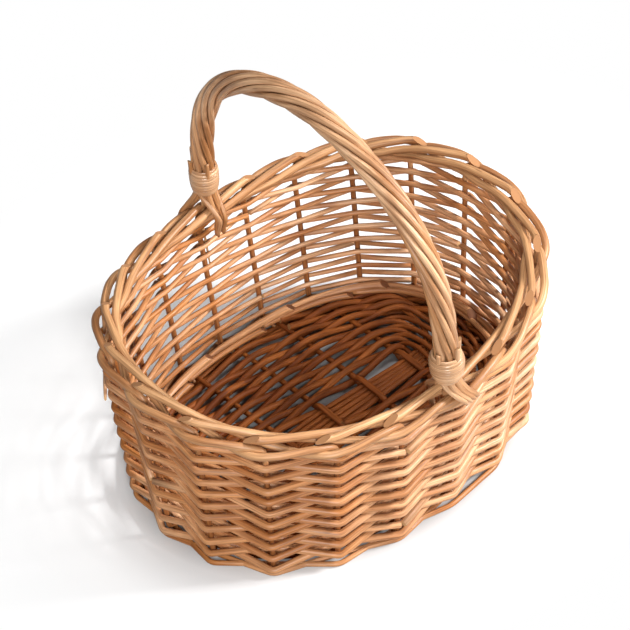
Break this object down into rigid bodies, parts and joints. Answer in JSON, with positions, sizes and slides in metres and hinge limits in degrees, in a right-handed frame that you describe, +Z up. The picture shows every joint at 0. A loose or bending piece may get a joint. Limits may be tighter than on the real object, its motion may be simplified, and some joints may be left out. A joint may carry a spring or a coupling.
{
  "type": "foraging basket",
  "caption": "Oval open-topped willow foraging basket with a woven wall, a plaited border, a stick base and a fixed roped cross handle.",
  "frame": {"origin": "middle of the underside, on the plane that the basket stands on", "axes": "+X along the long axis of the oval, +Y along the short axis in line with the handle, +Z up"},
  "size_m": [0.4223, 0.3593, 0.3989],
  "materials": {
    "peeled_willow": "satin, smooth peeled and steamed willow rod",
    "base_willow": "matt, darker reddish brown willow rod",
    "split_skein": "satin, pale split willow skein"
  },
  "bodies": {
    "root": {"base_long_stick_1": "base_willow", "base_long_stick_2": "base_willow", "base_long_stick_3": "base_willow", "base_long_stick_4": "base_willow", "base_long_stick_5": "base_willow", "base_cross_stick_1": "base_willow", "base_cross_stick_2": "base_willow", "base_cross_stick_3": "base_willow", "base_cross_stick_4": "base_willow", "base_cross_stick_5": "base_willow", "base_weaver_a": "base_willow", "base_weaver_b": "base_willow", "stake_01": "peeled_willow", "stake_02": "peeled_willow", "stake_03": "peeled_willow", "stake_04": "peeled_willow", "stake_05": "peeled_willow", "stake_06": "peeled_willow", "stake_07": "peeled_willow", "stake_08": "peeled_willow", "stake_09": "peeled_willow", "stake_10": "peeled_willow", "stake_11": "peeled_willow", "stake_12": "peeled_willow", "stake_13": "peeled_willow", "stake_14": "peeled_willow", "stake_15": "peeled_willow", "stake_16": "peeled_willow", "stake_17": "peeled_willow", "stake_18": "peeled_willow", "stake_19": "peeled_willow", "stake_20": "peeled_willow", "wall_weaver_a1": "peeled_willow", "wall_weaver_a2": "peeled_willow", "wall_weaver_a3": "peeled_willow", "wall_weaver_a4": "peeled_willow", "wall_weaver_a5": "peeled_willow", "wall_weaver_a6": "peeled_willow", "wall_weaver_a7": "peeled_willow", "wall_weaver_b1": "peeled_willow", "wall_weaver_b2": "peeled_willow", "wall_weaver_b3": "peeled_willow", "wall_weaver_b4": "peeled_willow", "wall_weaver_b5": "peeled_willow", "wall_weaver_b6": "peeled_willow", "wall_weaver_b7": "peeled_willow", "handle_bow": "peeled_willow", "handle_strand_1": "peeled_willow", "handle_strand_2": "peeled_willow", "handle_strand_3": "peeled_willow", "handle_strand_4": "peeled_willow", "handle_strand_5": "peeled_willow", "handle_strand_6": "peeled_willow", "handle_strand_7": "peeled_willow", "handle_strand_8": "peeled_willow", "near_binding": "split_skein", "far_binding": "split_skein"}
  },
  "joints": []
}
